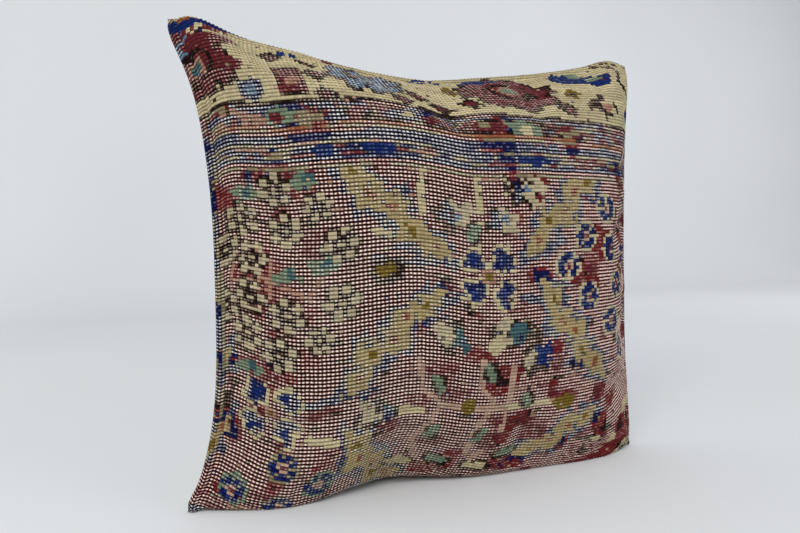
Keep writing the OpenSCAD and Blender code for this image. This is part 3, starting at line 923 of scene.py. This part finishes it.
def rug_material():
    s = Shader("worn_rug", roughness=0.92, sheen=0.04, specular=0.05)
    at = s.attribute("knot_at")
    c, r, _ = s.split(at)
    skew = s.noise(at, 0.9, 1)
    c = s.plus(c, s.blend(skew, 0.5, -0.25))
    r = s.plus(r, s.blend(s.noise(s.join(r, c), 0.8, 1), 0.36, -0.18))
    cell = s.join(s.math("FLOOR", c), s.math("FLOOR", r))
    chance = s.white(cell)
    worn_here = s.attribute("wool", "Alpha")
    joined_here = s.attribute("cotton", "Alpha")

    # The bare cotton: a bright oval in each knot's place, joined to the next along the row
    row_ridge = s.ridge(r)
    knot_ridge = s.ridge(c)
    in_row = s.ramp(row_ridge, 0.4, 0.78)
    round_dot = s.times(s.math("POWER", row_ridge, 1.2), s.math("POWER", knot_ridge, 0.7))
    oval = s.ramp(round_dot, 0.3, 0.58)
    link = s.times(in_row, s.times(joined_here, 0.8))
    cotton = s.math("MAXIMUM", oval, link)
    thready = s.noise(s.join(s.times(c, 3), s.times(r, 7)), 1.0, 2)
    bare = s.ramp(s.plus(worn_here, s.blend(chance, 0.3, -0.15)), 0.08, 0.8)
    share = s.times(cotton, bare)
    share = s.times(share, s.blend(thready, 0.4, 0.84))

    # The wool: painted shade, full colour on top of each knot and darker where it sinks between the rows and
    # knots, more where the weave is worn open
    sink = s.times(s.ramp(row_ridge, 0.16, 0.66, 0.0, 1.0), s.ramp(knot_ridge, 0.0, 0.4, 0.62, 1.0))
    open_weave = s.times(s.ramp(worn_here, 0.1, 0.7), s.rest(s.times(joined_here, 0.55)))
    depth = s.blend(s.math("SUBTRACT", sink, 1.0), s.blend(open_weave, 0.5, 0.5), 1.0)
    fibres = s.noise(s.position(), 2600, 3, 0.65)
    depth = s.times(depth, s.blend(fibres, 0.7, 0.66))
    painted_gap_shade = s.join(depth, depth, depth)
    # Painted shade between the knots, with the fibres' random tone, multiplied into the wool's colour
    wool = s.mix(1.0, s.attribute("wool", "Color"), painted_gap_shade, "MULTIPLY")
    s.colour(s.mix(share, wool, s.attribute("cotton", "Color")))
    height = s.plus(s.times(share, 0.5), s.times(sink, 0.6))
    height = s.blend(fibres, 0.5, height)
    s.bump(height, 0.0011, 0.75)
    return s.material


rug = rug_panel()
rug.data.materials.append(rug_material())
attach(rug, "cover")
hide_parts("rug_front_panel")

# -------------------- the canvas back, in two parts with the zipper between

CANVAS_STEP, CANVAS_THICK = 2 * MM, 1.4 * MM
SLOT_HALF_H, SLOT_HALF_W, SLOT_END = 7 * MM, 158 * MM, 8 * MM
HEM_W, HEM_STEP = 10 * MM, 0.5 * MM
STITCH_ROWS = (2 * MM, 7 * MM)
# The canvas is cut a little inside the seam's outline, and a part has a few rows more than its height
CANVAS_TUCK, SPARE_ROWS = 0.994, 1.07


def slot_edge(x):
    """Half the height of the zipper's opening at x. Past its ends the two parts meet."""
    return 0.15 * MM + SLOT_HALF_H * (1 - smooth((np.abs(x) - SLOT_HALF_W) / SLOT_END))


def cut_curve(curve, edge, upper, count):
    """The part of a column of the back that is above or below the zipper's opening, evenly spaced."""
    length = run_along(curve)
    below = np.nonzero(curve[:, 2] < edge)[0][-1]
    part = (edge - curve[below, 2]) / (curve[below + 1, 2] - curve[below, 2])
    cut = length[below] + part * (length[below + 1] - length[below])
    wanted = np.linspace(cut, length[-1], count) if upper else np.linspace(0, cut, count)
    return along(curve, np.interp(wanted, length, np.arange(len(curve))))


def canvas_part(name, upper):
    columns = round(WIDTH / CANVAS_STEP) + 1
    rows = round((HEIGHT - ZIP_Z if upper else ZIP_Z) * SPARE_ROWS / CANVAS_STEP)
    across = np.stack([evenly(row, columns) for row in back_panel])
    across[..., 0] *= CANVAS_TUCK
    middle_x = across[:, :, 0].mean(axis=0)
    grid = []
    for i in range(columns):
        half = slot_edge(middle_x[i])
        grid.append(cut_curve(across[:, i], ZIP_Z + (half if upper else -half), upper, rows))
    grid = np.stack(grid, axis=1)
    out = outward(grid, 1)
    c, r = np.meshgrid(np.arange(columns), np.arange(rows))
    from_edge = np.linalg.norm(grid - (grid[0] if upper else grid[-1])[None], axis=-1)
    at_slot = near_zip(grid[..., 0], grid[..., 2])
    hem = 1 - smooth((from_edge - HEM_W) / (1.4 * MM))
    pucker = np.sin(grid[..., 0] / (7 * MM) + 2 * noise(c / 9, r * 0, 111)) * bump(from_edge, 17 * MM, 9 * MM)
    lift = -HEM_STEP * (1 - hem) * at_slot + 0.35 * MM * pucker * at_slot
    for row in STITCH_ROWS:
        lift -= 0.16 * MM * bump(from_edge, row, 0.9 * MM) * at_slot
    from_seam = np.minimum(np.minimum(c, columns - 1 - c), rows - 1 - r if upper else r)
    seam_far = from_seam * CANVAS_STEP
    gather = np.sin((c + r) * 0.9 + 3 * noise(c / 8, r / 8, 112)) * bump(seam_far, 14 * MM, 9 * MM)
    swell = 0.5 * MM * noise(c / 12, r / 10, 113) * smooth(seam_far / (30 * MM))
    lift += (0.45 * MM * gather + swell) * (1 - at_slot)
    outer = keep_side(grid + out * lift[..., None], 1, SEAM_GAP + 0.3 * MM)
    inner = keep_side(outer - out * CANVAS_THICK, 1, SEAM_GAP)
    panel = shell(name, outer, inner, 1)
    place = np.stack([c * CANVAS_STEP / MM, r * CANVAS_STEP / MM, from_edge / MM], axis=-1).reshape(-1, 3)
    layer = panel.data.attributes.new("thread_at", "FLOAT_VECTOR", "POINT")
    layer.data.foreach_set("vector", np.vstack([place, place]).astype(np.float32).ravel())
    return panel


def canvas_material():
    s = Shader("cotton_canvas", roughness=0.9, sheen=0.15, specular=0.15)
    at = s.attribute("thread_at")
    x, z, _ = s.split(at)
    x = s.blend(s.noise(at, 0.5, 1), 0.5, x)
    z = s.blend(s.noise(s.join(z, x), 0.45, 1), 0.5, z)
    warp, weft = s.times(x, 1 / 0.9), s.times(z, 1 / 0.95)
    check = s.math("MODULO", s.plus(s.math("FLOOR", warp), s.math("FLOOR", weft)), 2.0)
    over = s.times(s.ridge(warp), s.blend(s.ridge(weft), 0.5, 0.5))
    under = s.times(s.ridge(weft), s.blend(s.ridge(warp), 0.5, 0.5))
    weave = s.plus(s.times(over, check), s.times(under, s.rest(check)))
    slub_x = s.noise(s.join(s.math("FLOOR", warp), s.times(z, 0.03)), 3.1, 1)
    slub_z = s.noise(s.join(s.times(x, 0.03), s.math("FLOOR", weft)), 2.7, 1)
    slub = s.ramp(s.plus(slub_x, slub_z), 0.8, 1.3)
    stain = s.noise(at, 0.012, 3)
    base = s.mix(s.ramp(stain, 0.35, 0.65), srgb(205, 194, 166), srgb(217, 208, 182))
    base = s.mix(s.times(slub, 0.5), base, srgb(226, 219, 198))
    speck = s.ramp(s.noise(at, 1.7, 1), 0.7, 0.76)
    base = s.mix(s.times(speck, 0.5), base, srgb(150, 128, 92))
    # Painted shade: the canvas is darker between its threads, where the weave is low
    base = s.mix(s.ramp(weave, 0.05, 0.55, 0.35, 0.0), base, srgb(140, 126, 100))
    s.colour(base)
    s.bump(s.blend(slub, 0.5, weave), 0.0006, 0.7)
    return s.material


canvas = canvas_material()
canvas_parts = (("canvas_upper", "back_panel_upper", True), ("canvas_lower", "back_panel_lower", False))
for piece_name, node, is_upper in canvas_parts:
    canvas_piece = canvas_part(piece_name, is_upper)
    canvas_piece.data.materials.append(canvas)
    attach(canvas_piece, "cover")
    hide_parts(node)

# -------------------- seams


THREAD_STEP, THREAD_SIDES = 0.9 * MM, 8
STITCH_LONG, STITCH_RISE = 3 * MM, 0.35 * MM


def twisted_thread(name, loop, radius, turn_every):
    """A closed loop of two-ply thread along the points, which rises and dips with each stitch."""
    closed = np.vstack([loop, loop[:1]])
    length = run_along(closed)
    count = int(length[-1] / THREAD_STEP)
    wanted = np.linspace(0, length[-1], count, endpoint=False)
    points = np.stack([np.interp(wanted, length, closed[:, k]) for k in range(3)], axis=1)
    ahead = unit(np.roll(points, -1, axis=0) - np.roll(points, 1, axis=0))
    side = unit(np.cross(ahead, [0, 1, 0]))
    up = np.cross(side, ahead)
    turn = np.linspace(0, 2 * math.pi, THREAD_SIDES, endpoint=False)
    run = np.arange(count) * THREAD_STEP
    twist = (run / turn_every * 2 * math.pi)[:, None]
    wave = (STITCH_RISE * np.sin(run / STITCH_LONG * math.pi))[:, None]
    reach = radius * (1 + 0.18 * np.cos(2 * (turn[None] - twist)))
    rings = points[:, None] + side[:, None] * (reach * np.cos(turn))[..., None]
    rings = rings + up[:, None] * (reach * np.sin(turn) + wave)[..., None]
    a = np.arange(count * THREAD_SIDES).reshape(count, THREAD_SIDES)
    b = np.roll(a, -1, axis=1)
    c, d = np.roll(b, -1, axis=0), np.roll(a, -1, axis=0)
    return mesh_object(name, rings, np.stack([a, b, c, d], axis=-1).reshape(-1, 4))


def seam_loop(line):
    """The seam's line, line grid lines in from the panel's edge, in the plane of the seam."""
    grid = front_panel[line:-line, line:-line] if line else front_panel
    edge = grid.reshape(-1, 3)[around(grid.shape[1], grid.shape[0])].copy()
    edge[:, 1] = SEAM_Y
    return edge


def thread_material(name, light, dark):
    s = Shader(name, roughness=0.6, sheen=0.2, specular=0.35)
    at = s.position()
    fibre = s.noise(at, 3000, 2)
    s.colour(s.mix(s.ramp(fibre, 0.3, 0.7), srgb(*dark), srgb(*light)))
    s.bump(fibre, 0.0003, 0.6)
    return s.material


seam = twisted_thread("cover_seam", seam_loop(3), 0.24 * MM, 2.4 * MM)
seam.data.materials.append(thread_material("seam_thread", (112, 88, 76), (62, 46, 42)))
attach(seam, "cover")
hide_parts("cover_seam_thread")

# -------------------- the insert: two casings, their seam and the fibre

INSERT_IN = 12 * MM
CASING_GAP_FRONT, CASING_GAP_BACK, CASING_THICK = 5.5 * MM, 8 * MM, 0.6 * MM
CASING_FLOOR, CASING_EDGE = 5 * MM, 0.9 * MM
CASING_COLS, CASING_ROWS = 113, 101


def from_rim(columns, rows):
    """The column and row of each point of a grid, and how many points it is from the grid's edge."""
    c, r = np.meshgrid(np.arange(columns), np.arange(rows))
    return c, r, np.minimum(np.minimum(c, columns - 1 - c), np.minimum(r, rows - 1 - r))


def insert_face(panel, side, inward_by):
    """A face of the insert: the cover's own face, drawn in from it and from its seam."""
    grid = woven_grid(panel[4:-4, 4:-4], CASING_COLS, CASING_ROWS)
    shrink = 1 - (INSERT_IN - LIP_W) / (WIDTH / 2)
    x, z = grid[..., 0] * shrink, (grid[..., 2] - HEIGHT / 2) * shrink + HEIGHT / 2
    c, r, far = from_rim(CASING_COLS, CASING_ROWS)
    crease = 0.9 * MM * np.sin((c + r) * 0.8 + 4 * noise(c / 7, r / 7, 121)) * bump(far, 6, 5)
    lumps = 1.1 * MM * noise(c / 9, r / 9, 122 + side) + crease
    y = np.abs(grid[..., 1] - SEAM_Y) - inward_by - 1.5 * MM + lumps * smooth(far / 6)
    y = np.maximum(y, CASING_EDGE + 0.4 * MM * far)
    y[far == 0] = CASING_EDGE
    return np.stack([x, SEAM_Y + side * y, np.maximum(z, CASING_FLOOR + 0.02 * MM * r)], axis=-1)


def inside(face, side, by, gap):
    """The face moved into the cushion, kept on its own side of the seam."""
    return keep_side(face - outward(face, side) * by, side, gap)


def casing_material():
    s = Shader("nonwoven_casing", roughness=0.75, sheen=0.1, specular=0.3)
    at = s.position()
    dimple_x = s.ridge(s.times(s.split(at)[0], 1 / 0.0016))
    dimple_z = s.ridge(s.times(s.split(at)[2], 1 / 0.0016))
    dimple = s.ramp(s.times(dimple_x, dimple_z), 0.3, 0.7)
    strands = s.noise(at, 900, 3, 0.7)
    base = s.mix(s.ramp(strands, 0.3, 0.7), srgb(222, 220, 212), srgb(240, 239, 234))
    # Painted shade: the casing is darker in each sunk dimple
    s.colour(s.mix(s.times(dimple, 0.3), base, srgb(200, 198, 190)))
    s.bump(s.math("SUBTRACT", s.times(strands, 0.5), dimple), 0.0004, 0.6)
    return s.material


casing = casing_material()
faces_of_insert = {}
cover_faces = ((-1, front_panel, CASING_GAP_FRONT, "front"), (1, back_panel, CASING_GAP_BACK, "back"))
for side, source, gap_in, label in cover_faces:
    face = insert_face(source, side, gap_in)
    faces_of_insert[side] = face
    casing_piece = shell(f"insert_{label}", face, inside(face, side, CASING_THICK, 0.3 * MM), side)
    casing_piece.data.materials.append(casing)
    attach(casing_piece, "cover")
    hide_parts(f"insert_{label}_casing")

insert_edge = faces_of_insert[-1][1:-1, 1:-1]
insert_loop = insert_edge.reshape(-1, 3)[around(insert_edge.shape[1], insert_edge.shape[0])].copy()
insert_loop[:, 1] = SEAM_Y
insert_seam = twisted_thread("insert_seam", insert_loop, 0.2 * MM, 2.2 * MM)
insert_seam.data.materials.append(thread_material("insert_thread", (238, 236, 230), (206, 203, 195)))
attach(insert_seam, "cover")
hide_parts("insert_seam_thread")


def fibre_body():
    """The fibre inside the casings: one lumpy body that fills them."""
    halves = []
    for side in (-1, 1):
        grid = inside(faces_of_insert[side], side, 1.6 * MM, 0.5 * MM)[2:-2, 2:-2]
        rows, columns = grid.shape[:2]
        c, r, far = from_rim(columns, rows)
        tufts = 0.5 + 0.5 * noise(c / 3.4, r / 3.4, 131 + side) * noise(c / 8, r / 8, 133 + side)
        halves.append(grid - outward(grid, side) * (2.2 * MM * tufts * smooth(far / 6))[..., None])
    return shell("insert_fibre", halves[0], halves[1], -1)


def fibre_material():
    s = Shader("polyester_fibre", roughness=1.0, sheen=0.3, specular=0.1)
    tuft = s.noise(s.position(), 60, 4, 0.6)
    strand = s.noise(s.position(), 1200, 3, 0.7)
    light = s.ramp(s.plus(tuft, s.times(strand, 0.4)), 0.5, 0.9)
    s.colour(s.mix(light, srgb(214, 213, 208), srgb(244, 244, 241)))
    s.bump(s.blend(strand, 0.3, tuft), 0.003, 0.8)
    return s.material


fibre = fibre_body()
fibre.data.materials.append(fibre_material())
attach(fibre, "cover")
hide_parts("fibre_fill")

# -------------------- materials of the parts that stay as they are


def dress(material, *nodes):
    """Gives carried-over CAD nodes a material."""
    for node in nodes:
        for slot in bpy.data.objects[node].material_slots:
            slot.material = material


def tape_material():
    s = Shader("zipper_tape", roughness=0.7, sheen=0.15, specular=0.3)
    x, _, z = s.split(s.position())
    rib = s.times(z, 1 / 0.0011)
    pick = s.times(x, 1 / 0.0008)
    lean = s.blend(s.math("MODULO", s.math("FLOOR", rib), 2.0), 0.5, pick)
    weave = s.times(s.ridge(rib), s.blend(s.ridge(lean), 0.6, 0.4))
    base = s.mix(s.ramp(s.noise(s.position(), 40, 2), 0.3, 0.7), srgb(170, 158, 131), srgb(184, 172, 145))
    # Painted shade: the tape is darker between its ribs, where the weave is low
    s.colour(s.mix(s.ramp(weave, 0.0, 0.5, 0.45, 0.0), base, srgb(112, 101, 78)))
    s.bump(weave, 0.0005, 0.7)
    return s.material


def coil_material():
    s = Shader("nylon_coil", roughness=0.35, specular=0.5)
    s.skin.inputs["Subsurface Weight"].default_value = 0.05
    haze = s.noise(s.position(), 500, 2)
    s.colour(s.mix(s.ramp(haze, 0.3, 0.7), srgb(152, 140, 112), srgb(172, 160, 132)))
    s.roughness(s.ramp(haze, 0.2, 0.8, 0.28, 0.5))
    s.bump(haze, 0.00015, 0.4)
    return s.material


def metal_material(name, bright, dark, roughness):
    """Worn plated metal: bright where it is rubbed, dark in its hollows, with fine scratches."""
    s = Shader(name, metallic=1.0, specular=0.5)
    at = s.position()
    geometry = s.tree.nodes.new("ShaderNodeNewGeometry")
    rubbed = s.ramp(geometry.outputs["Pointiness"], 0.47, 0.56)
    patina = s.ramp(s.noise(at, 700, 4, 0.6), 0.35, 0.68)
    x, y, z = s.split(at)
    scratch = s.noise(s.join(s.times(x, 6.0), y, z), 2400, 2)
    base = s.mix(s.times(patina, 0.65), srgb(*bright), srgb(*dark))
    s.colour(s.mix(s.times(rubbed, 0.6), base, srgb(*bright)))
    dull = s.plus(s.times(scratch, 0.6), s.times(patina, 0.6))
    s.roughness(s.ramp(dull, 0.3, 0.9, roughness, roughness + 0.25))
    s.bump(scratch, 0.00008, 0.5)
    return s.material


brass = metal_material("antique_brass", (196, 164, 104), (112, 84, 46), 0.3)
stop_metal = metal_material("stop_metal", (186, 184, 178), (122, 120, 114), 0.35)
tack_thread = thread_material("tack_thread", (224, 216, 196), (178, 168, 144))
hem_thread = thread_material("hem_thread", (232, 225, 206), (186, 176, 150))
dress(tape_material(), "zipper_tape_upper", "zipper_tape_lower")
dress(coil_material(), "zipper_coil_upper", "zipper_coil_lower")
dress(brass, "zipper_slider", "zipper_pull_tab")
dress(stop_metal, "zipper_top_stops", "zipper_bottom_stop")
dress(tack_thread, "zipper_bar_tacks")
dress(hem_thread, "hem_stitches_upper", "hem_stitches_lower")

# -------------------- floor and light

FLOOR_WIDE, FLOOR_NEAR, FLOOR_FAR, SWEEP_R, WALL_H = 4.0, -1.6, 1.5, 0.5, 2.4


def sweep():
    """A floor that curves up into a wall."""
    line = [(FLOOR_NEAR, 0.0), (FLOOR_FAR, 0.0)]
    for a in np.linspace(0, math.pi / 2, 13):
        line.append((FLOOR_FAR + SWEEP_R * math.sin(a), SWEEP_R * (1 - math.cos(a))))
    line.append((FLOOR_FAR + SWEEP_R, WALL_H))
    grid = np.array([[(x, y, z) for x in np.linspace(-FLOOR_WIDE, FLOOR_WIDE, 9)] for y, z in line])
    return mesh_object("floor", grid, grid_faces(9, len(line)))


floor = sweep()
paper = Shader("backdrop_paper", roughness=0.85, specular=0.2)
cloud = paper.noise(paper.position(), 0.7, 2)
paper.colour(paper.mix(paper.ramp(cloud, 0.35, 0.65), srgb(226, 229, 232), srgb(232, 235, 238)))
floor.data.materials.append(paper.material)


def area_light(name, at, towards, size, power, colour=(1, 1, 1)):
    light = bpy.data.lights.new(name, "AREA")
    light.shape = "RECTANGLE"
    light.size, light.size_y = size
    light.energy = power
    light.color = colour
    obj = bpy.data.objects.new(name, light)
    bpy.context.scene.collection.objects.link(obj)
    obj.location = at
    obj.rotation_euler = (Vector(towards) - Vector(at)).to_track_quat("-Z", "Y").to_euler()


area_light("key", (-1.3, -1.9, 1.9), (0, 0, 0.2), (1.6, 1.6), 52, (1, 0.97, 0.93))
area_light("fill", (1.7, -1.4, 1.2), (0, 0, 0.2), (1.6, 1.6), 13, (0.95, 0.97, 1))
area_light("top", (0, 0.1, 2.4), (0, 0.3, 0), (2.6, 2.0), 7)
area_light("wall", (2.2, 0.6, 1.1), (1.8, 2.0, 0.3), (2.0, 1.0), 8)
area_light("behind", (-1.7, 1.2, 1.1), (0, 0.1, 0.2), (1.2, 1.2), 6, (0.97, 0.98, 1))

world = bpy.data.worlds.new("studio")
world.use_nodes = True
world.node_tree.nodes["Background"].inputs["Color"].default_value = (0.86, 0.9, 0.95, 1)
world.node_tree.nodes["Background"].inputs["Strength"].default_value = 0.33
bpy.context.scene.world = world
bpy.context.scene.view_settings.view_transform = "Standard"
bpy.context.scene.view_settings.look = "None"
